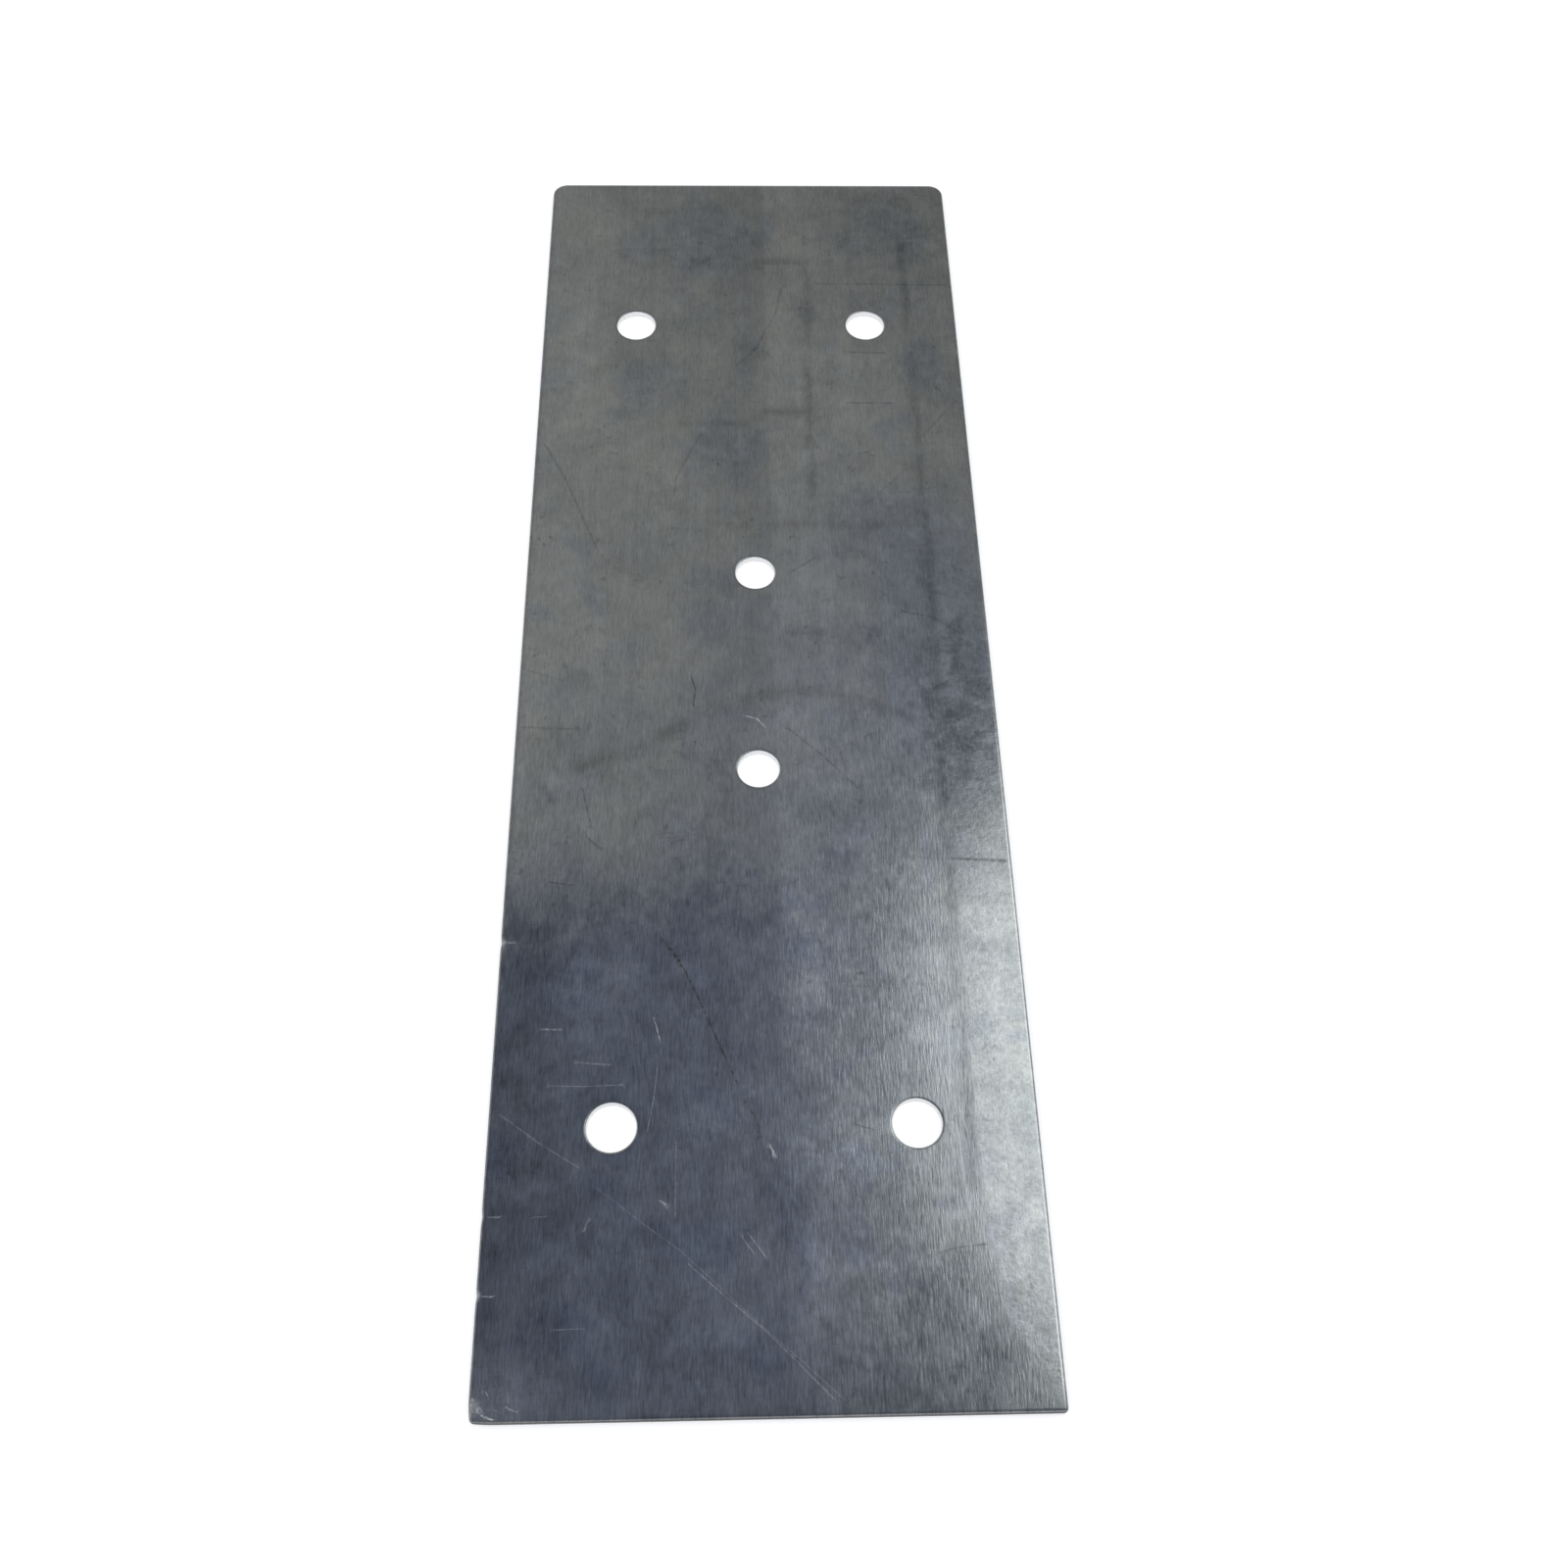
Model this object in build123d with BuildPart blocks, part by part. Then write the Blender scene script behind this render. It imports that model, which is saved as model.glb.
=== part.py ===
from build123d import *
import os

os.makedirs("parts", exist_ok=True)

# Rectangular cover plate, sheared and drilled from flat 1.5 mm mild steel sheet.
# Millimetres. Origin at the centre of the underside, +Z out of the face that
# shows, +Y along the long side, +X to the right when looking down on the face
# with +Y pointing away.

# driving dimensions
length = 300.0
width = 100.0
thickness = 1.5

hole_d = 9.0  # the four outer holes, medium clearance for M8
centre_hole_d = 8.4  # the two on the centre line, close clearance for M8
edge_row = 50.0  # hole row from the short edge
outer_spacing_x = 55.5  # between the two holes of an end row
outer_spacing_y = length - 2 * edge_row  # 200 between the end rows
centre_spacing_y = 50.0  # between the two holes on the centre line

far_corner_r = 3.5  # rounded corners of the +Y end
near_corner_r = 0.7  # corners of the -Y end, only just taken off

top_edge_r = 0.35  # rolled-over rim of the face that shows
bottom_edge_break = 0.15  # small break on the underside
hole_deburr = 0.25  # deburring countersink at each hole, both faces

with BuildPart() as cover_plate:
    with BuildSketch(Plane.XY):
        Rectangle(width, length)
    extrude(amount=thickness)

    # corners, in plan
    uprights = cover_plate.edges().filter_by(Axis.Z)
    fillet(uprights.group_by(Axis.Y)[-1], radius=far_corner_r)
    uprights = cover_plate.edges().filter_by(Axis.Z).group_by(Axis.Y)[0]
    fillet(uprights, radius=near_corner_r)

    # rim of each face
    top_rim = cover_plate.faces().sort_by(Axis.Z)[-1].outer_wire().edges()
    fillet(top_rim, radius=top_edge_r)
    bottom_rim = cover_plate.faces().sort_by(Axis.Z)[0].outer_wire().edges()
    chamfer(bottom_rim, length=bottom_edge_break)

    # four outer holes on a rectangle, two more on the centre line
    with Locations((0, 0, thickness)):
        with GridLocations(outer_spacing_x, outer_spacing_y, 2, 2):
            Hole(radius=hole_d / 2)
        with GridLocations(0, centre_spacing_y, 1, 2):
            Hole(radius=centre_hole_d / 2)

    # deburred hole rims, both faces
    rims = cover_plate.edges().filter_by(GeomType.CIRCLE)
    rims = rims.filter_by(lambda e: min(abs(e.radius - d / 2) for d in (hole_d, centre_hole_d)) < 1e-3)
    chamfer(rims, length=hole_deburr)

cover_plate.part.label = "cover_plate"
export_step(cover_plate.part, "parts/cover_plate.step")
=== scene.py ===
import bpy
import math
import numpy as np
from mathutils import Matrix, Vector
from mathutils.geometry import delaunay_2d_cdt


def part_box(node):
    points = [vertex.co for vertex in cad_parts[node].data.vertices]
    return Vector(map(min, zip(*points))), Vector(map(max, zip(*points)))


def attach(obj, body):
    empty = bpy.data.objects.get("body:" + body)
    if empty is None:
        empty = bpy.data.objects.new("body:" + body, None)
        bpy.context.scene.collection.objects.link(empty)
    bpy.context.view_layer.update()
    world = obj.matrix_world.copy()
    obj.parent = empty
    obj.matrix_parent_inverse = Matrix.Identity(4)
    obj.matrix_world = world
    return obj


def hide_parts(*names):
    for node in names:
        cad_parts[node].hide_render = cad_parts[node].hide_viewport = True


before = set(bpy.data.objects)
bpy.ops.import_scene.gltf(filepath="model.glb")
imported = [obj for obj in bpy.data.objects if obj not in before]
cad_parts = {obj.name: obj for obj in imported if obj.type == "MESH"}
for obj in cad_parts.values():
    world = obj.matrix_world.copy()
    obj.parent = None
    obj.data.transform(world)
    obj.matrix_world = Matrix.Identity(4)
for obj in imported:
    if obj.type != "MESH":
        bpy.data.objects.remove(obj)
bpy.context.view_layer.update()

# ---------------------------------------------------------------- sizes, in mm
lo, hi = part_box("cover_plate")
W = (hi[0] - lo[0]) * 1000.0
L = (hi[1] - lo[1]) * 1000.0
T = (hi[2] - lo[2]) * 1000.0
X0, Y0 = -W / 2, -L / 2

HOLES = [(-27.75, 100.0), (27.75, 100.0), (0.0, 25.0), (0.0, -25.0), (-27.75, -100.0), (27.75, -100.0)]
HOLE_R = [4.5, 4.5, 4.2, 4.2, 4.5, 4.5]
FAR_R, NEAR_R = 3.5, 0.7
ROLL = 0.42  # rolled-over rim of the sheared edge
BREAK = 0.15
CH = 0.28  # deburred hole rim
rng = np.random.default_rng(7)


# ---------------------------------------------------------------- marks on the face, in plate mm
# thin dark scratches: points, half width, strength
DARK = [
    ([(-48.0, 62.2), (-42.9, 52.2), (-37.9, 39.3), (-34.6, 31.1)], 0.45, 0.55),
    ([(-12.4, 64.4), (-15.4, 57.7), (-17.6, 52.1), (-18.0, 46.9)], 0.4, 0.45),
    ([(-13.9, -2.1), (-13.0, -5.5), (-13.4, -9.2)], 0.32, 0.95),
    ([(6.6, -15.6), (13.3, -22.1), (20.5, -30.1)], 0.32, 0.7),
    ([(32.1, 14.3), (38.7, 12.5), (43.7, 8.6)], 0.5, 0.6),
    ([(7.9, 25.1), (13.1, 28.8)], 0.4, 0.55),
    ([(-3.1, 87.2), (1.2, 92.3), (3.0, 97.0), (5.7, 102.7), (7.6, 111.8)], 0.5, 0.5),
    ([(22.5, 74.8), (33.0, 74.7)], 0.45, 0.65),
    ([(22.7, 91.1), (31.8, 90.8)], 0.45, 0.6),
    ([(16.4, 114.2), (33.6, 113.9), (49.0, 113.7)], 0.45, 0.5),
    ([(-19.4, -62.6), (-15.5, -67.8), (-12.1, -75.1), (-8.7, -83.2), (-5.1, -91.5)], 0.3, 1.0),
    ([(-17.4, -65.0), (-15.3, -68.6)], 0.5, 0.9),
    ([(-3.5, -95.7), (-1.5, -98.7), (-1.1, -101.4)], 0.3, 0.8),
    ([(28.3, -123.9), (33.0, -122.6), (38.4, -122.0)], 0.3, 0.55),
    ([(20.9, -52.3), (22.6, -56.5)], 0.3, 0.6),
    ([(16.7, -100.2), (19.7, -101.1)], 0.28, 0.6),
    ([(-41.1, -50.4), (-37.2, -51.1)], 0.3, 0.6),
    ([(-34.3, -40.6), (-32.0, -42.8)], 0.3, 0.6),
    ([(-35.7, -29.3), (-34.0, -36.6)], 0.3, 0.5),
    ([(25.2, 44.1), (35.5, 54.6)], 0.5, 0.3),
    ([(38.0, 62.6), (48.0, 75.2)], 0.5, 0.35),
    ([(38.6, -46.1), (48.6, -46.7)], 0.55, 0.75),
    ([(-49.1, -14.6), (-37.1, -15.2)], 0.35, 0.4),
    ([(-49.0, -0.2), (-41.4, -3.0)], 0.35, 0.35),
]
# thin pale scratches, where bright metal shows
PALE = [
    ([(-2.3, -12.3), (-0.1, -13.0), (1.4, -14.8)], 0.2, 0.9),
    ([(-47.5, -97.6), (-40.8, -102.6), (-33.4, -107.2)], 0.22, 0.35),
    ([(-30.1, -110.9), (-21.3, -117.7), (-15.0, -122.3)], 0.15, 0.30),
    ([(-15.0, -122.3), (-8.0, -128.7), (-1.0, -135.2), (4.9, -140.3), (12.4, -147.2)], 0.14, 0.27),
    ([(-13.6, -124.6), (-5.6, -131.6), (-0.2, -136.2), (4.9, -141.2), (10.6, -147.0)], 0.15, 0.44),
    ([(-39.3, -92.0), (-33.0, -92.2), (-26.3, -92.0)], 0.18, 0.42),
    ([(-40.7, -81.0), (-37.8, -81.1)], 0.35, 0.45),
    ([(-34.2, -87.6), (-28.4, -88.1)], 0.3, 0.35),
    ([(-36.4, -135.2), (-31.9, -135.1)], 0.15, 0.42),
    ([(-38.5, -115.9), (-41.0, -116.0)], 0.18, 0.4),
    ([(-20.4, -79.0), (-19.1, -83.7)], 0.16, 0.8),
    ([(-19.6, -89.1), (-20.1, -94.2), (-21.2, -100.7)], 0.16, 0.5),
    ([(-16.0, -102.6), (-16.0, -115.5)], 0.18, 0.35),
    ([(-3.2, -119.4), (-0.3, -123.4)], 0.2, 0.4),
    ([(-4.1, -120.4), (-2.4, -122.7)], 0.2, 0.35),
    ([(-18.4, -113.6), (-18.1, -113.9)], 0.32, 0.9),
    ([(1.2, -104.3), (1.4, -104.7)], 0.3, 0.8),
    ([(-31.5, -117.2), (-32.0, -118.6)], 0.25, 0.5),
    ([(35.0, -79.4), (34.6, -88.0), (34.4, -95.0)], 0.22, 0.45),
    ([(35.1, -101.8), (35.4, -108.0), (35.9, -115.6)], 0.2, 0.55),
    ([(38.9, -103.5), (39.5, -112.0)], 0.2, 0.5),
    ([(-49.55, -63.2), (-47.6, -63.3)], 0.22, 0.6),
    ([(-49.55, -115.9), (-46.9, -115.9)], 0.22, 0.8),
    ([(-49.55, -129.4), (-47.4, -129.5)], 0.24, 0.9),
    ([(-49.1, -146.2), (-49.1, -147.4), (-48.9, -148.3)], 1.0, 0.62),
    ([(-19.9, -61.0), (-19.6, -70.0), (-19.8, -78.0)], 0.12, 0.2),
    ([(-48.6, -147.9), (-47.9, -148.6), (-47.2, -149.0), (-45.7, -149.4)], 0.26, 0.95),
    ([(-48.3, -147.2), (-47.6, -148.1)], 0.2, 0.6),
    ([(-43.8, -147.4), (-42.8, -147.9), (-41.9, -148.2)], 0.2, 0.6),
    ([(-47.2, -144.9), (-46.9, -145.4)], 0.2, 0.75),
    ([(-43.3, -146.2), (-43.5, -147.3)], 0.14, 0.45),
    ([(-45.6, -147.9), (-44.6, -148.3)], 0.14, 0.45),
    ([(-48.2, -143.6), (-47.5, -146.2)], 0.12, 0.3),
]
# broad soft dark strokes: points, half width, strength
SOFT = [
    ([(-36.8, -24.3), (-27.8, -21.2), (-19.6, -17.0), (-12.3, -12.2), (-4.9, -8.4), (3.6, -6.2), (11.1, -6.0), (20.4, -8.0), (26.8, -10.9)], 1.6, 0.16),
    ([(13.9, 131.0), (13.9, 94.0), (13.3, 65.4), (13.5, 46.8)], 0.9, 0.22),
    ([(38.1, 128.0), (38.2, 109.0), (38.3, 95.0), (38.4, 73.0), (38.4, 49.0), (38.7, 28.9), (38.0, 1.4), (37.6, -30.0), (37.6, -44.0)], 0.9, 0.23),
    ([(37.6, -44.0), (37.5, -62.0), (37.5, -78.0), (37.3, -95.0), (37.6, -112.0)], 0.85, 0.24),
    ([(3.3, 121.7), (12.8, 121.7)], 1.0, 0.22),
    ([(3.2, 72.1), (13.5, 71.9)], 1.2, 0.23),
    ([(5.0, 38.7), (17.5, 38.3), (28.5, 38.1)], 1.3, 0.16),
    ([(6.8, 8.9), (26.9, 9.4)], 1.0, 0.14),
    ([(37.6, -65.2), (49.6, -66.3)], 1.6, 0.2),
    ([(-16.7, 68.3), (-8.4, 68.8), (-2.2, 68.2)], 1.0, 0.12),
    ([(-26.2, 125.1), (-17.3, 126.7)], 0.9, 0.1),
    ([(-32.1, 140.4), (-19.7, 139.2)], 0.9, 0.09),
    ([(13.2, 29.0), (21.2, 31.5)], 0.9, 0.1),
    ([(-8.5, 38.5), (-2.0, 38.1)], 0.9, 0.1),
    ([(-49.0, 82.3), (-41.2, 83.7)], 0.8, 0.08),
    ([(38.2, -54.0), (49.5, -55.5)], 1.2, 0.08),
    # painted shade: the next two strokes darken the face along the near edge
    ([(-8.0, -149.8), (20.0, -149.8), (49.5, -149.8)], 2.0, 0.20),
    ([(-22.0, -149.8), (6.0, -149.8)], 1.0, 0.16),
]
# broad soft pale strokes: points, half width, strength
LIGHT = [
    ([(-18.0, -142.1), (-15.9, -137.9), (-10.7, -136.6), (-4.1, -138.2)], 1.6, 0.12),
    ([(-1.0, -93.0), (-4.5, -92.4), (-8.0, -95.0)], 1.4, 0.10),
    ([(34.3, -52.0), (34.6, -80.0), (34.3, -108.0)], 0.8, 0.07),
    ([(-33.0, -66.0), (-30.0, -72.0), (-34.0, -78.0)], 2.2, 0.08),
]
# cloudy stains and lighter patches, and on the right side patches of painted shade and painted highlight that even
# out the soft box's shine: x, y, rx, ry, amount
STAINS_AND_PAINTED_LIGHT = [
    (-8.3, 130.7, 12, 12, -0.13), (-27.5, 127.0, 6, 6, -0.12), (-13.0, 121.0, 5, 5, -0.10), (-28.0, 80.5, 6, 8, -0.12), (-20.0, 85.0, 6, 6, -0.06), (-8.8, 63.0, 6, 7, -0.16), (-2.0, 58.0, 4, 8, -0.08),
    (-10.5, 11.1, 6, 8, -0.10), (-30.1, 29.3, 9, 12, -0.06), (40.6, 87.5, 5, 9, -0.17), (40.5, 129.8, 5, 10, -0.11),
    # painted shade: the dark patch at (41, -12) on the next line takes back the soft box's shine where it spreads too
    # wide
    (24.0, 42.1, 10, 9, -0.07), (37.0, 25.0, 12, 22, -0.16), (41.0, -12.0, 11, 19, -0.30), (41.5, 1.0, 6, 8, -0.10), (-22.0, 38.0, 8, 10, 0.08), (-21.0, -12.0, 10, 12, 0.06), (9.9, 57.7, 7, 10, -0.06), (-2.0, 101.0, 5, 14, -0.07),
    (9.7, 132.0, 6, 11, 0.06), (8.2, 89.4, 5, 14, 0.08), (20.1, 82.2, 6, 14, 0.07), (-41.0, 95.8, 8, 30, 0.08),
    (7.6, 46.2, 4, 9, 0.08), (-16.6, 50.8, 8, 11, 0.06), (16.8, 21.6, 9, 11, 0.07), (-40.0, 15.0, 9, 22, 0.05),
    (-31.5, -71.2, 9, 9, 0.20), (-9.5, -98.5, 7, 6, 0.18), (-30.5, -87.0, 9, 8, 0.13), (-0.6, -92.8, 3.2, 2.6, 0.16),
    (11.3, -124.0, 12, 3.5, 0.12), (-5.0, -136.5, 9, 4, 0.08), (-35.0, -126.0, 9, 5, 0.10), (8.0, -63.0, 5, 12, 0.08),
    (-44.3, -68.2, 6, 10, -0.15), (-45.0, -93.8, 6, 16, -0.12), (-8.8, -143.3, 9, 5, -0.12), (-41.0, -134.0, 7, 8, -0.10),
    # painted highlight: the pale patch at (44.5, -66) on the next line lightens the plate under the soft box
    (34.0, -118.0, 4, 10, -0.08), (26.0, -127.0, 6, 7, -0.05), (39.0, -137.0, 2.5, 6, -0.16), (44.5, -66.0, 6, 8, 0.14), (26.0, -72.0, 8, 8, 0.10), (-22.0, -140.0, 8, 7, -0.05), (-42.0, -147.0, 15, 7, 0.15), (-37.0, -125.0, 6, 5, 0.07),
    (-15.7, -84.0, 4, 4, 0.08), (-26.7, -121.7, 5, 4, 0.08), (-27.5, -134.0, 5, 4.5, 0.30), (2.0, -132.5, 7, 5, 0.08),
    (-16.7, -132.2, 2.5, 5, -0.10), (-27.3, -126.9, 4, 3, -0.12), (-31.3, -120.1, 2, 4, -0.12), (-37.5, -133.3, 3, 4, -0.08),
    (7.4, -127.5, 3, 3, -0.08), (-20.8, -69.1, 3, 3, 0.06), (10.7, -71.3, 5, 5, 0.12), (14.5, -104.5, 6, 4.5, 0.20),
    (8.5, -134.8, 5, 3, 0.07), (26.5, -92.0, 3, 5, -0.07), (28.0, -113.0, 5, 4, -0.07), (46.5, -141.0, 4, 7, -0.10),
    (30.0, -82.0, 6, 12, 0.06), (-38.0, -76.0, 4, 5, 0.10), (5.0, 134.0, 2, 7, -0.12), (7.6, 114.5, 2, 5, -0.08),
    (1.4, 93.0, 2.2, 4, -0.08), (-2.0, 84.0, 2.5, 6, -0.08), (-13.0, 91.0, 2.5, 5, -0.06), (-6.0, 74.0, 3, 6, -0.06),
    (-4.0, 54.0, 3, 6, -0.09), (1.5, 62.0, 2, 6, -0.07), (-6.5, 43.0, 2.5, 4, -0.09), (3.0, 37.0, 2, 6, -0.08),
    (25.0, 127.0, 8, 9, -0.07), (33.0, 138.0, 9, 9, -0.07), (12.6, 102.0, 4, 8, -0.07), (25.7, 109.5, 5, 5, -0.05), (20.0, -138.0, 14, 8, -0.05), (-47.0, -110.0, 3, 30, -0.10),
]
# rubbed bare round the knocked corner: x, y, rx, ry, amount
RUBBED = [(-44.0, -147.0, 7, 4, 0.20), (-49.2, -147.3, 1.3, 1.5, 1.1), (-47.8, -148.9, 2.2, 1.2, 0.24)]


def seg_dist(P, a, b):
    a, b = np.asarray(a, float), np.asarray(b, float)
    d = b - a
    t = np.clip(((P - a) @ d) / max(d @ d, 1e-9), 0, 1)
    return np.linalg.norm(P - (a + t[:, None] * d), axis=1)


def stroke(P, pts, half):
    best = np.full(len(P), 1e9)
    for a, b in zip(pts[:-1], pts[1:]):
        best = np.minimum(best, seg_dist(P, a, b))
    return best / half


# ---------------------------------------------------------------- outline
def outline():
    """Points and outward normals round the plate, anticlockwise from above."""
    pts, nor = [], []
    corners = [
        (W / 2, -L / 2, NEAR_R, -90), (W / 2, L / 2, FAR_R, 0), (-W / 2, L / 2, FAR_R, 90), (-W / 2, -L / 2, NEAR_R, 180),
    ]
    for i, (cx, cy, r, a0) in enumerate(corners):
        sx, sy = math.copysign(1, cx), math.copysign(1, cy)
        ox, oy = cx - sx * r, cy - sy * r
        n = 14 if r > 1 else 6
        for k in range(n + 1):
            a = math.radians(a0 + 90 * k / n)
            pts.append((ox + r * math.cos(a), oy + r * math.sin(a)))
            nor.append((math.cos(a), math.sin(a)))
        nx, ny, nr, na = corners[(i + 1) % 4]
        ex, ey = nx - math.copysign(nr, nx), ny - math.copysign(nr, ny)
        end = (ex + nr * math.cos(math.radians(na)), ey + nr * math.sin(math.radians(na)))
        start = pts[-1]
        length = math.dist(start, end)
        m = max(2, int(round(length / 1.25)))
        for k in range(1, m):
            t = k / m
            pts.append((start[0] + (end[0] - start[0]) * t, start[1] + (end[1] - start[1]) * t))
            nor.append(nor[-1])
    return np.array(pts), np.array(nor)


OUT, NRM = outline()
NOUT = len(OUT)


def inset(d):
    return OUT - NRM * d


def circle(c, r, n=56):
    a = np.linspace(0, 2 * math.pi, n, endpoint=False)
    return np.stack([c[0] + r * np.cos(a), c[1] + r * np.sin(a)], 1)


NH = 56


def edge_distance(P):
    """How far inside the outline a point of the face is."""
    dx, dy = W / 2 - np.abs(P[:, 0]), L / 2 - np.abs(P[:, 1])
    d = np.minimum(dx, dy)
    cx, cy = W / 2 - FAR_R, L / 2 - FAR_R
    corner = (np.abs(P[:, 0]) > cx) & (P[:, 1] > cy)
    r = np.hypot(np.abs(P[:, 0]) - cx, P[:, 1] - cy)
    return np.where(corner, FAR_R - r, d)


def hole_distance(P):
    return np.min([np.hypot(P[:, 0] - c[0], P[:, 1] - c[1]) - r for c, r in zip(HOLES, HOLE_R)], axis=0)


def triangulate(edge_in, hole_out, step, marks, rings):
    """Triangles over the face between the rim and the holes. Returns points, triangles and the rim and hole loops."""
    P, E = [], []

    def loop(pts):
        s = len(P)
        P.extend(map(tuple, pts))
        n = len(pts)
        E.extend((s + i, s + (i + 1) % n) for i in range(n))
        return list(range(s, s + n))

    rim = loop(inset(edge_in))
    hole_loops = [loop(circle(c, r + hole_out)) for c, r in zip(HOLES, HOLE_R)]
    if rings:
        for c, r in zip(HOLES, HOLE_R):
            for d in (0.55, 1.0, 1.6):
                P.extend(map(tuple, circle(c, r + d)))
        for d in (0.75, 1.3):
            P.extend(map(tuple, inset(edge_in * 0 + d) if d > NEAR_R else inset(d)))
    for pts, half, _ in marks:
        pts = np.array(pts, float)
        for a, b in zip(pts[:-1], pts[1:]):
            n = max(1, int(math.ceil(np.linalg.norm(b - a) / 1.0)))
            d = (b - a) / max(np.linalg.norm(b - a), 1e-9)
            q = np.array([-d[1], d[0]])
            for off in (0.0, half, -half):
                row = [a + (b - a) * k / n + q * off for k in range(n + 1)]
                row = [p for p in row if edge_distance(p[None])[0] > edge_in + 0.12 and hole_distance(p[None])[0] > hole_out + 0.3]
                s = len(P)
                P.extend(tuple(p) for p in row)
                if off == 0.0:
                    E.extend((s + i, s + i + 1) for i in range(len(row) - 1))
    xs = np.arange(-W / 2 + step, W / 2 - step * 0.5, step)
    ys = np.arange(-L / 2 + step, L / 2 - step * 0.5, step)
    G = np.array([(x + (step / 2 if j % 2 else 0), y) for j, y in enumerate(ys) for x in xs])
    keep = (edge_distance(G) > edge_in + step * 0.55 + (1.0 if rings else 0)) & (hole_distance(G) > hole_out + step * 0.5 + (1.4 if rings else 0))
    for pts, half, _ in marks:
        keep &= stroke(G, pts, 1.0) > half + 0.45
    P.extend(map(tuple, G[keep]))
    verts, _, faces, orig, _, _ = delaunay_2d_cdt([Vector(p) for p in P], E, [], 0, 1e-5)
    V = np.array([(v.x, v.y) for v in verts])
    where = {}
    for i, o in enumerate(orig):
        for k in o:
            where[k] = i
    tri = np.array(faces)
    c = V[tri].mean(1)
    inside = hole_distance(c) > hole_out - (max(HOLE_R) + hole_out) * (1 - math.cos(math.pi / NH)) - 1e-3
    tri = tri[inside]
    a, b, d = V[tri[:, 0]], V[tri[:, 1]], V[tri[:, 2]]
    area = (b[:, 0] - a[:, 0]) * (d[:, 1] - a[:, 1]) - (b[:, 1] - a[:, 1]) * (d[:, 0] - a[:, 0])
    tri = tri[np.abs(area) > 1e-7]
    area = area[np.abs(area) > 1e-7]
    tri[area < 0] = tri[area < 0][:, ::-1]
    return V, tri, [where[i] for i in rim], [[where[i] for i in h] for h in hole_loops]


# ---------------------------------------------------------------- the plate's mesh
verts = []  # mm
faces = []
face_uv = []  # one list of uv per face
TOP_V, BOT_V = (0.006, 0.700), (0.715, 0.895)
kind = []  # 0 face, 1 wall, 2 hole wall


def uv_face(p, band):
    return (0.006 + 0.988 * (p[1] - Y0) / L, band[0] + (band[1] - band[0]) * (p[0] - X0) / W)


def add_face(V, tri, z, band, flip):
    base = len(verts)
    verts.extend((x, y, z) for x, y in V)
    for t in tri:
        t = t[::-1] if flip else t
        faces.append(tuple(int(base + i) for i in t))
        face_uv.append([uv_face(V[i], band) for i in t])
        kind.append(0)
    return base


thin = DARK + PALE
Vt, Tt, rim_t, holes_t = triangulate(ROLL, CH, 1.15, thin, True)
bt = add_face(Vt, Tt, T, TOP_V, False)
Vb, Tb, rim_b, holes_b = triangulate(BREAK, CH, 3.0, [], False)
bb = add_face(Vb, Tb, 0.0, BOT_V, True)

# outer wall: rolled rim, sheared wall, small break at the bottom
profile = []
for k in range(1, 5):
    a = math.radians(90 * k / 4)
    profile.append((ROLL - ROLL * math.sin(a), T - ROLL + ROLL * math.cos(a)))
profile += [(0.0, T * 0.50), (0.02, T * 0.28), (0.0, BREAK)]
rings = [[bt + i for i in rim_t]]
for d, z in profile:
    s = len(verts)
    verts.extend((p[0], p[1], z) for p in inset(d))
    rings.append(list(range(s, s + NOUT)))
rings.append([bb + i for i in rim_b])
heights = [0.0]
for (d0, z0), (d1, z1) in zip([(ROLL, T)] + profile, profile + [(BREAK, 0.0)]):
    heights.append(heights[-1] + math.hypot(d1 - d0, z1 - z0))
heights = np.array(heights) / heights[-1]
along = np.concatenate([[0], np.cumsum(np.linalg.norm(np.roll(OUT, -1, 0) - OUT, axis=1))])
total = along[-1]
half_i = int(np.searchsorted(along, total / 2))
for r in range(len(rings) - 1):
    for i in range(NOUT):
        j = (i + 1) % NOUT
        a, b = along[i], along[i + 1]
        row = 0 if i < half_i else 1
        o = 0.0 if row == 0 else along[half_i]
        span = along[half_i] if row == 0 else total - along[half_i]
        v0 = 0.905 + 0.034 * row
        ua, ub = 0.006 + 0.988 * (a - o) / span, 0.006 + 0.988 * (b - o) / span
        va, vb = v0 + 0.028 * (1 - heights[r]), v0 + 0.028 * (1 - heights[r + 1])
        faces.append((rings[r][i], rings[r + 1][i], rings[r + 1][j], rings[r][j]))
        face_uv.append([(ua, va), (ua, vb), (ub, vb), (ub, va)])
        kind.append(1)

# hole walls
for h, (c, hole_r) in enumerate(zip(HOLES, HOLE_R)):
    prof = [(CH * 0.35, T - CH * 0.35), (0.0, T - CH), (0.0, CH), (CH * 0.35, CH * 0.35)]
    hr = [[bt + i for i in holes_t[h]]]
    for d, z in prof:
        s = len(verts)
        verts.extend((p[0], p[1], z) for p in circle(c, hole_r + d))
        hr.append(list(range(s, s + NH)))
    hr.append([bb + i for i in holes_b[h]])
    hh = np.linspace(0, 1, len(hr))
    hh = np.array([0, 0.1, 0.2, 0.8, 0.9, 1.0])
    for r in range(len(hr) - 1):
        for i in range(NH):
            j = (i + 1) % NH
            ua, ub = 0.006 + (h + 0.96 * i / NH) * 0.1645, 0.006 + (h + 0.96 * (i + 1) / NH) * 0.1645
            va, vb = 0.976 + 0.018 * (1 - hh[r]), 0.976 + 0.018 * (1 - hh[r + 1])
            faces.append((hr[r][j], hr[r + 1][j], hr[r + 1][i], hr[r][i]))
            face_uv.append([(ub, va), (ub, vb), (ua, vb), (ua, va)])
            kind.append(2)

V = np.array(verts)
P = V[:, :2]
top = V[:, 2] > T - 1e-4
edge = np.where(top, edge_distance(P), 0.0)
hdist = hole_distance(P)

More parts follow.
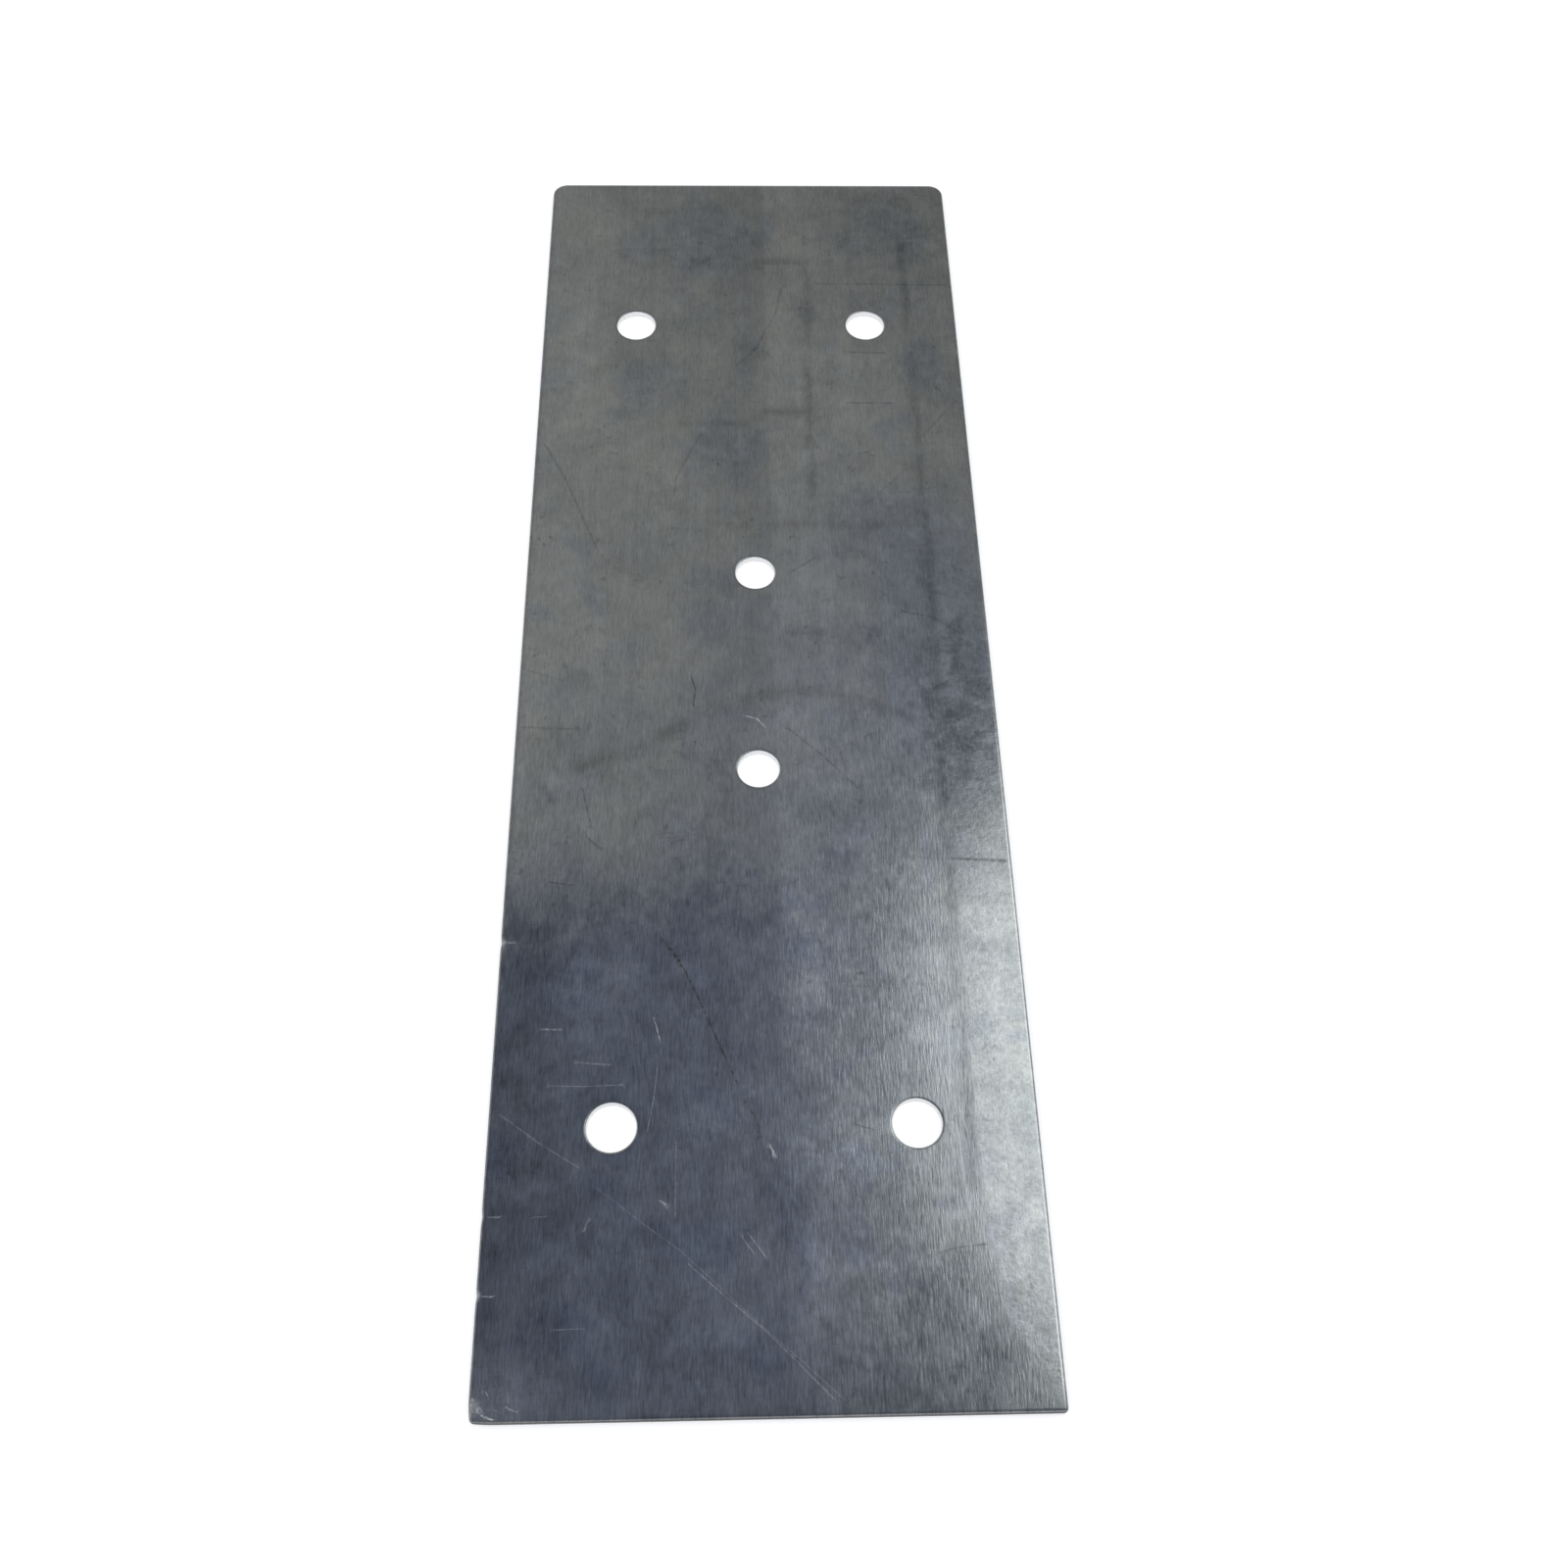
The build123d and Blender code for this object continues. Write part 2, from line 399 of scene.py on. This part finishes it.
# marks at every vertex
dark = np.zeros(len(V))
pale = np.zeros(len(V))
tone_and_painted_light = np.zeros(len(V))
soft = np.zeros(len(V))
for pts, half, k in DARK:
    # the far half is seen at a lower angle, where the same scratch shows less
    k *= 1.0 if pts[0][1] < -20 else 0.8
    dark = np.maximum(dark, k * np.clip(1 - stroke(P, pts, half), 0, 1))
for pts, half, k in PALE:
    pale = np.maximum(pale, k * np.clip(1 - stroke(P, pts, half), 0, 1))
for pts, half, k in SOFT:
    soft = np.maximum(soft, k * np.exp(-stroke(P, pts, half) ** 2))
for pts, half, k in LIGHT:
    tone_and_painted_light += k * np.exp(-stroke(P, pts, half) ** 2)
# stains and lighter patches, with the painted shade and painted highlight patches on the right side
for x, y, rx, ry, k in STAINS_AND_PAINTED_LIGHT:
    tone_and_painted_light += k * np.exp(-(((P[:, 0] - x) / rx) ** 2 + ((P[:, 1] - y) / ry) ** 2))
# a dull, evenly pitted strip along the right hand side, widest in the middle and narrowing to the near corner
left_of = np.interp(-P[:, 1], [112.0, 120.0, 128.7, 134.6, 143.7, 150.0], [38.3, 38.9, 40.3, 41.1, 46.2, 50.0])
inside_strip = 1 / (1 + np.exp(-(P[:, 0] - left_of) / 0.3))
strip = inside_strip * np.clip((60.0 - P[:, 1]) / 80.0, 0, 1)
# painted highlight: the strip is lightened from y = -40 towards the near end, and more past y = -96, where the soft
# box shines on it
tone_and_painted_light += inside_strip * np.clip((-40.0 - P[:, 1]) / 15.0, 0, 1) * (0.14 - 0.012 * np.clip(P[:, 0] - 38.0, 0, 11))
tone_and_painted_light += inside_strip * np.clip((-96.0 - P[:, 1]) / 12.0, 0, 1) * 0.08
for x, y, rx, ry, k in RUBBED:
    pale = np.maximum(pale, k * np.exp(-(((P[:, 0] - x) / rx) ** 2 + ((P[:, 1] - y) / ry) ** 2)))
for a in (dark, pale, tone_and_painted_light, soft):
    a[~top] = 0.0
# rolled finish: a band edge runs the whole length, left of it smoother and darker
band = 1 / (1 + np.exp(-(P[:, 0] - 4.0) / 0.45))
# rim: darkened as painted shade on the rolled rim and the deburred hole rims, which are also rougher; on the near
# part of the right hand side a painted highlight lightens the rim instead
rim_highlight = np.clip((P[:, 0] - 40.0) / 6.0, 0, 1) * np.clip((20.0 - P[:, 1]) / 50.0, 0, 1) * np.clip((P[:, 1] + 149.0) / 4.0, 0, 1)
rim = np.clip(1 - (edge - ROLL) / 0.45, 0, 1) * (0.50 - 0.62 * rim_highlight)
rim = np.where(hdist < 3.0, np.clip(1 - (hdist - CH) / 0.5, 0, 1) * 0.45, rim)
# side marks the outer walls, which the material darkens: darker sheared metal, and painted shade
side = np.where(V[:, 2] < T - ROLL * 0.6, 1.0, 0.0)
side[V[:, 2] < 1e-4] = 0.0
bore = np.where((hdist < CH * 0.6) & (V[:, 2] > 1e-4) & ~top, 1.0, 0.0)
side[bore > 0] = 0.0

Z = V[:, 2].copy()
# the near left corner is knocked in and pressed down a little, and three nicks cross the left rim
cd = np.hypot(P[:, 0] - X0, P[:, 1] - Y0)
knock = np.exp(-((cd / 2.2) ** 2))
V[:, 0] += 0.28 * knock
V[:, 1] += 0.22 * knock
Z -= 0.22 * knock * (Z / T)
for y in (-63.2, -115.9, -129.4):
    nick = np.exp(-(((P[:, 1] - y) / 0.7) ** 2)) * np.exp(-(((P[:, 0] - X0) / 0.5) ** 2))
    V[:, 0] += 0.16 * nick
    Z -= 0.12 * nick * (Z / T)
V[:, 2] = Z

me = bpy.data.meshes.new("cover_plate_sheet")
me.from_pydata([tuple(v * 0.001) for v in V], [], faces)
uvl = me.uv_layers.new(name="OFBake")
flat_uv = np.array([c for f in face_uv for c in f], np.float32)
uvl.uv.foreach_set("vector", flat_uv.ravel())
for name, data in (("tone_and_painted_light", tone_and_painted_light), ("soft", soft), ("strip", strip), ("dark", dark), ("pale", pale), ("rim", rim), ("band", band), ("side", side), ("bore", bore)):
    at = me.attributes.new(name, "FLOAT", "POINT")
    at.data.foreach_set("value", np.asarray(data, np.float32))
me.update()
piece = bpy.data.objects.new("cover_plate_sheet", me)
bpy.context.scene.collection.objects.link(piece)
me.polygons.foreach_set("use_smooth", [True] * len(me.polygons))
me.set_sharp_from_angle(angle=math.radians(50))
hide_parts("cover_plate")
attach(piece, "root")


# ---------------------------------------------------------------- material
class Tree:
    def __init__(self, nt):
        self.nt = nt

    def node(self, kind, **inputs):
        n = self.nt.nodes.new(kind)
        for k, v in inputs.items():
            setattr(n, k, v)
        return n

    def put(self, sock, v):
        if isinstance(v, (int, float, tuple, list)):
            sock.default_value = v
        else:
            self.nt.links.new(v, sock)

    def math(self, op, a, b=None, c=None, clamp=False):
        n = self.node("ShaderNodeMath", operation=op, use_clamp=clamp)
        for i, v in enumerate((a, b, c)):
            if v is not None:
                self.put(n.inputs[i], v)
        return n.outputs[0]

    def vmath(self, op, a, b):
        n = self.node("ShaderNodeVectorMath", operation=op)
        self.put(n.inputs[0], a)
        self.put(n.inputs[1], b)
        return n.outputs[0]

    def attr(self, name):
        return self.node("ShaderNodeAttribute", attribute_name=name).outputs["Fac"]

    def noise(self, vec, scale, detail=3.0, rough=0.5, dist=0.0):
        n = self.node("ShaderNodeTexNoise")
        self.put(n.inputs["Vector"], vec)
        n.inputs["Scale"].default_value = scale
        n.inputs["Detail"].default_value = detail
        n.inputs["Roughness"].default_value = rough
        n.inputs["Distortion"].default_value = dist
        return n.outputs["Fac"]

    def ramp(self, v, a, b, c=0.0, d=1.0, smooth=True):
        n = self.node("ShaderNodeMapRange")
        n.interpolation_type = "SMOOTHSTEP" if smooth else "LINEAR"
        self.put(n.inputs["Value"], v)
        self.put(n.inputs["From Min"], a)
        self.put(n.inputs["From Max"], b)
        self.put(n.inputs["To Min"], c)
        self.put(n.inputs["To Max"], d)
        return n.outputs["Result"]

    def mix(self, fac, a, b, mode="MIX"):
        n = self.node("ShaderNodeMix", data_type="RGBA", blend_type=mode)
        self.put(n.inputs["Factor"], fac)
        self.put(n.inputs["A"], a)
        self.put(n.inputs["B"], b)
        return n.outputs["Result"]


mat = bpy.data.materials.new("rolled_steel")
mat.use_nodes = True
nt = mat.node_tree
nt.nodes.clear()
t = Tree(nt)
out = t.node("ShaderNodeOutputMaterial")
bsdf = t.node("ShaderNodeBsdfPrincipled")
nt.links.new(bsdf.outputs[0], out.inputs["Surface"])
pos = t.node("ShaderNodeTexCoord").outputs["Object"]

fine = t.vmath("MULTIPLY", pos, (4300.0, 460.0, 900.0))
short = t.vmath("MULTIPLY", pos, (2400.0, 300.0, 700.0))
longv = t.vmath("MULTIPLY", pos, (800.0, 5.0, 300.0))
grain = t.noise(fine, 1.0, 2.0, 0.55)
streak = t.noise(short, 1.0, 3.0, 0.6, 0.15)
lines = t.noise(longv, 1.0, 3.0, 0.65)
cloud = t.noise(pos, 46.0, 5.0, 0.6, 0.5)
mottle = t.noise(pos, 210.0, 4.0, 0.66, 0.3)
# stains with a torn outline: fields of dull haze and of oil, drawn out along the rolling
haze = t.ramp(t.noise(t.vmath("MULTIPLY", pos, (1.0, 0.75, 1.0)), 74.0, 6.0, 0.68, 0.9), 0.50, 0.60)
oil = t.ramp(t.noise(t.vmath("ADD", pos, (0.37, 0.11, 0.0)), 58.0, 5.0, 0.62, 0.6), 0.53, 0.64)
tone_breakup = t.ramp(t.noise(pos, 130.0, 5.0, 0.66, 0.8), 0.38, 0.60, 0.35, 1.45)
clump = t.ramp(t.noise(t.vmath("ADD", pos, (0.11, 0.53, 0.0)), 95.0, 4.0, 0.6, 0.5), 0.47, 0.62)
speck = t.ramp(t.noise(t.vmath("MULTIPLY", pos, (1.0, 0.8, 1.0)), 560.0, 3.0, 0.65), 0.58, 0.72)
speck = t.math("MULTIPLY", speck, t.math("ADD", 0.15, t.math("MULTIPLY", clump, 0.85)))
dash = t.ramp(t.noise(t.vmath("MULTIPLY", pos, (330.0, 900.0, 300.0)), 1.0, 3.0, 0.6, 0.4), 0.56, 0.68)
speck = t.math("MAXIMUM", speck, t.math("MULTIPLY", dash, t.math("MULTIPLY", clump, 0.45)))
broken = t.noise(pos, 1100.0, 3.0, 0.65)
# long soft strokes are patchy
patchy = t.ramp(t.noise(t.vmath("MULTIPLY", pos, (260.0, 95.0, 260.0)), 1.0, 4.0, 0.65, 0.4), 0.38, 0.60, 0.35, 1.40)
# towards the near end the grain, mottle and haze stand out more
xyz = t.node("ShaderNodeSeparateXYZ")
t.put(xyz.inputs[0], pos)
near_end_gain = t.ramp(xyz.outputs[1], 0.03, -0.09, 0.70, 1.28)

tone_and_painted_light_a, soft_a, dark_a, pale_a = t.attr("tone_and_painted_light"), t.attr("soft"), t.attr("dark"), t.attr("pale")
strip_a = t.attr("strip")
rim_a, band_a, side_a, bore_a = t.attr("rim"), t.attr("band"), t.attr("side"), t.attr("bore")

# brightness of the metal
b = t.math("ADD", 1.0, t.math("MULTIPLY", t.math("SUBTRACT", cloud, 0.5), 0.40))
b = t.math("ADD", b, t.math("MULTIPLY", t.math("SUBTRACT", mottle, 0.5), t.math("ADD", t.math("MULTIPLY", near_end_gain, 0.66), t.math("MULTIPLY", strip_a, -0.10))))
# pits: where the strip is, they take the place of the grain
pits = t.noise(pos, 1050.0, 3.0, 0.65)
plain = t.math("SUBTRACT", 1.0, t.math("MULTIPLY", strip_a, 0.7))
near_end_gain = t.math("MULTIPLY", near_end_gain, plain)
b = t.math("ADD", b, t.math("MULTIPLY", t.math("SUBTRACT", pits, 0.5), t.math("MULTIPLY", strip_a, 0.90)))
b = t.math("ADD", b, t.math("MULTIPLY", t.math("SUBTRACT", grain, 0.5), t.math("MULTIPLY", near_end_gain, 0.70)))
b = t.math("ADD", b, t.math("MULTIPLY", t.math("SUBTRACT", streak, 0.5), t.math("MULTIPLY", near_end_gain, 0.62)))
b = t.math("ADD", b, t.math("MULTIPLY", t.math("SUBTRACT", lines, 0.5), 0.26))
b = t.math("ADD", b, t.math("MULTIPLY", haze, t.math("MULTIPLY", near_end_gain, 0.055)))
b = t.math("SUBTRACT", b, t.math("MULTIPLY", oil, 0.045))
# stains and pale strokes, together with the painted highlight on the strip and the painted shade and highlight
# patches on the right side
b = t.math("ADD", b, t.math("MULTIPLY", tone_and_painted_light_a, tone_breakup))
b = t.math("MULTIPLY", b, t.math("SUBTRACT", 1.0, t.math("MULTIPLY", soft_a, patchy)))
b = t.math("MULTIPLY", b, t.math("ADD", 0.82, t.math("MULTIPLY", band_a, 0.18)))
b = t.math("MULTIPLY", b, t.math("SUBTRACT", 1.0, t.math("MULTIPLY", speck, 0.30)))
b = t.math("MULTIPLY", b, t.math("SUBTRACT", 1.0, t.math("MULTIPLY", t.math("MULTIPLY", dark_a, t.ramp(broken, 0.40, 0.58, 0.4, 1.0)), 0.78)))
# painted shade darkens the rims; along the near right rim a painted highlight lightens it instead
b = t.math("MULTIPLY", b, t.math("SUBTRACT", 1.0, t.math("MULTIPLY", rim_a, 0.5)))
# the outer walls are darkened to about a sixth: darker sheared metal, and painted shade that keeps the cut edge dark
# against the bright floor
b = t.math("MULTIPLY", b, t.math("SUBTRACT", 1.0, t.math("MULTIPLY", side_a, 0.84)))
b = t.math("MAXIMUM", b, 0.05)
tint = t.mix(t.ramp(cloud, 0.34, 0.60), (0.327, 0.340, 0.356, 1.0), (0.343, 0.350, 0.354, 1.0))
tint = t.mix(oil, tint, (0.322, 0.337, 0.364, 1.0))
# the stains of the far half are bluish, and so are the painted shade patches there
stain_and_shade_tint = t.math("MULTIPLY", t.ramp(tone_and_painted_light_a, -0.02, -0.12), t.ramp(xyz.outputs[1], -0.05, 0.0))
tint = t.mix(stain_and_shade_tint, tint, (0.321, 0.343, 0.380, 1.0))
grey = t.node("ShaderNodeCombineColor")
for i in range(3):
    t.put(grey.inputs[i], b)
col = t.mix(1.0, tint, grey.outputs[0], "MULTIPLY")
scuff = t.math("MULTIPLY", pale_a, t.ramp(broken, 0.42, 0.60, 0.5, 1.0))
col = t.mix(scuff, col, (0.82, 0.80, 0.76, 1.0))
col = t.mix(bore_a, col, (0.74, 0.74, 0.74, 1.0))
t.put(bsdf.inputs["Base Color"], col)
bsdf.inputs["Metallic"].default_value = 1.0

# roughness: smoother left of the band edge, rougher in stains, marks and on the sheared edge
r = t.math("ADD", 0.095, t.math("MULTIPLY", band_a, 0.025))
r = t.math("ADD", r, t.math("MULTIPLY", strip_a, 0.02))
r = t.math("ADD", r, t.math("MULTIPLY", t.math("SUBTRACT", mottle, 0.5), 0.10))
r = t.math("ADD", r, t.math("MULTIPLY", t.math("SUBTRACT", streak, 0.5), 0.08))
r = t.math("ADD", r, t.math("MULTIPLY", haze, 0.035))
r = t.math("ADD", r, t.math("MULTIPLY", dark_a, 0.15))
r = t.math("ADD", r, t.math("MULTIPLY", scuff, 0.40))
r = t.math("ADD", r, t.math("MULTIPLY", t.math("MAXIMUM", side_a, rim_a), 0.25))
t.put(bsdf.inputs["Roughness"], t.math("MAXIMUM", r, 0.06))

# relief: rolling grain, with pits where the strip is
h = t.math("ADD", t.math("MULTIPLY", grain, 0.5), streak)
h = t.math("MULTIPLY", h, plain)
h = t.math("ADD", h, t.math("MULTIPLY", pits, t.math("MULTIPLY", strip_a, 1.2)))
bump = t.node("ShaderNodeBump")
bump.inputs["Strength"].default_value = 0.5
bump.inputs["Distance"].default_value = 0.00002
t.put(bump.inputs["Height"], h)
t.put(bsdf.inputs["Normal"], bump.outputs[0])
me.materials.append(mat)

# ---------------------------------------------------------------- floor
floor_me = bpy.data.meshes.new("floor")
S = 6.0
floor_me.from_pydata([(-S, -S, 0), (S, -S, 0), (S, S, 0), (-S, S, 0)], [], [(0, 1, 2, 3)])
floor = bpy.data.objects.new("floor", floor_me)
floor.location = (0, 0, lo[2] - 0.0001)
bpy.context.scene.collection.objects.link(floor)
fm = bpy.data.materials.new("pale_floor")
fm.use_nodes = True
fb = fm.node_tree.nodes["Principled BSDF"]
fb.inputs["Base Color"].default_value = (0.86, 0.86, 0.86, 1)
fb.inputs["Roughness"].default_value = 0.9
fb.inputs["Specular IOR Level"].default_value = 0.1
fb.inputs["Emission Color"].default_value = (1, 1, 1, 1)
fb.inputs["Emission Strength"].default_value = 0.55
floor_me.materials.append(fm)

# ---------------------------------------------------------------- studio: a dim ceiling, a pale far wall and a soft window on the right
world = bpy.data.worlds.new("studio")
bpy.context.scene.world = world
world.use_nodes = True
wt = Tree(world.node_tree)
world.node_tree.nodes.clear()
wo = wt.node("ShaderNodeOutputWorld")
bg = wt.node("ShaderNodeBackground")
world.node_tree.links.new(bg.outputs[0], wo.inputs["Surface"])
d = wt.node("ShaderNodeTexCoord").outputs["Generated"]
sep = wt.node("ShaderNodeSeparateXYZ")
wt.put(sep.inputs[0], d)
dz = wt.math("MAXIMUM", sep.outputs[2], 0.02)
u = wt.math("DIVIDE", sep.outputs[0], dz)
v = wt.math("DIVIDE", sep.outputs[1], dz)
vb = wt.math("SUBTRACT", v, wt.math("MULTIPLY", u, 0.06))
far = wt.ramp(vb, 0.496, 0.516)
far = wt.math("MAXIMUM", far, wt.ramp(u, 0.02, 0.07, 0.0, 0.85))
side_fall = wt.ramp(u, -0.18, 0.22, 1.34, 0.80, smooth=False)
side_fall = wt.math("MULTIPLY", side_fall, wt.ramp(v, 1.30, 0.85, 0.86, 1.0))
side_fall = wt.math("MULTIPLY", side_fall, wt.ramp(v, 0.14, 0.33, 0.68, 1.0))
side_fall = wt.math("MULTIPLY", side_fall, wt.math("SUBTRACT", 1.0, wt.math("MULTIPLY", wt.ramp(v, 1.00, 1.20), wt.ramp(u, -0.04, 0.06, 0.0, 0.13))))
cool = wt.math("MULTIPLY", wt.ramp(v, 0.95, 0.50), wt.ramp(u, -0.08, 0.10, 0.2, 1.0))
left_fall = wt.ramp(u, -0.16, 0.03, 0.92, 1.25, smooth=False)
# a large round soft box, low on the right
ru = wt.math("SUBTRACT", u, 0.446)
rv = wt.math("SUBTRACT", v, 0.360)
rho = wt.math("SQRT", wt.math("ADD", wt.math("MULTIPLY", ru, ru), wt.math("MULTIPLY", rv, rv)))
window = wt.math("MULTIPLY", wt.ramp(rho, 0.353, 0.286), wt.ramp(rho, 0.300, 0.245, 0.70, 1.0))
walls = wt.math("MAXIMUM", wt.ramp(sep.outputs[2], 0.60, 0.30), wt.ramp(v, -0.35, -0.9))
walls = wt.math("MAXIMUM", walls, wt.ramp(u, -0.45, -1.0))


def grey_of(tree, value):
    n = tree.node("ShaderNodeCombineColor")
    for i in range(3):
        tree.put(n.inputs[i], value)
    return n.outputs[0]


near_c = wt.mix(1.0, (0.228, 0.259, 0.331, 1), grey_of(wt, left_fall), "MULTIPLY")
far_c = wt.mix(cool, (0.439, 0.443, 0.424, 1), (0.410, 0.438, 0.500, 1))
far_c = wt.mix(1.0, far_c, grey_of(wt, side_fall), "MULTIPLY")
c = wt.mix(far, near_c, far_c)
c = wt.mix(window, c, (1.94, 2.03, 1.98, 1))
c = wt.mix(walls, c, (0.95, 0.96, 1.0, 1))
wt.put(bg.inputs["Color"], c)
bg.inputs["Strength"].default_value = 1.0

# ---------------------------------------------------------------- camera
cam_data = bpy.data.cameras.new("camera")
cam = bpy.data.objects.new("camera", cam_data)
bpy.context.scene.collection.objects.link(cam)
cam_data.sensor_width = 36.0
cam_data.sensor_fit = "HORIZONTAL"
cam_data.lens = 37.0491
cam_data.clip_start = 0.01
cam.location = (-0.00477402, -0.19223922, 0.28587510)
cam.rotation_mode = "XYZ"
cam.rotation_euler = (math.radians(29.92553), math.radians(-1.24716), math.radians(-1.30196))
bpy.context.scene.camera = cam
bpy.context.scene.view_settings.view_transform = "Standard"
